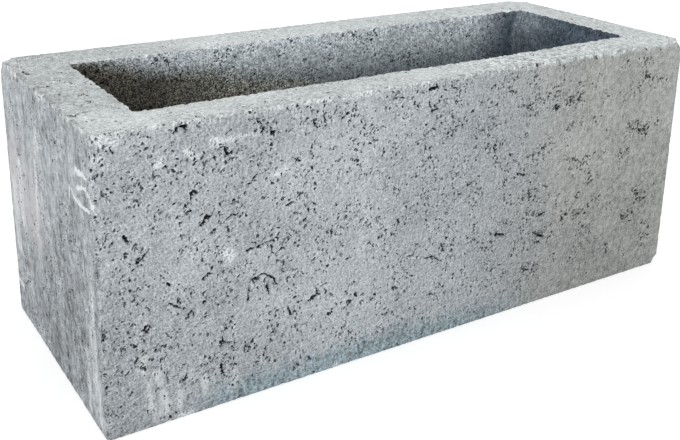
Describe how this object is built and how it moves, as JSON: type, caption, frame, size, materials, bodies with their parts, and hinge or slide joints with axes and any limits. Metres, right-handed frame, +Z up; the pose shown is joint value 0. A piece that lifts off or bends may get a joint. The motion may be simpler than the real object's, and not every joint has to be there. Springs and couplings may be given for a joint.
{
  "type": "hollow garden wall block",
  "caption": "Rectangular concrete block with a large open core from top to bottom, laid in courses as a garden wall or filled with soil as a planter.",
  "frame": {"origin": "middle of the bed face, on the surface the block stands on", "axes": "+X along the block's length, +Y from the front face to the back, +Z up through the open core"},
  "size_m": [0.5, 0.2, 0.2],
  "materials": {
    "concrete": "rough grey pressed concrete with open pores"
  },
  "bodies": {
    "root": {"wall_block": "concrete"}
  },
  "joints": []
}
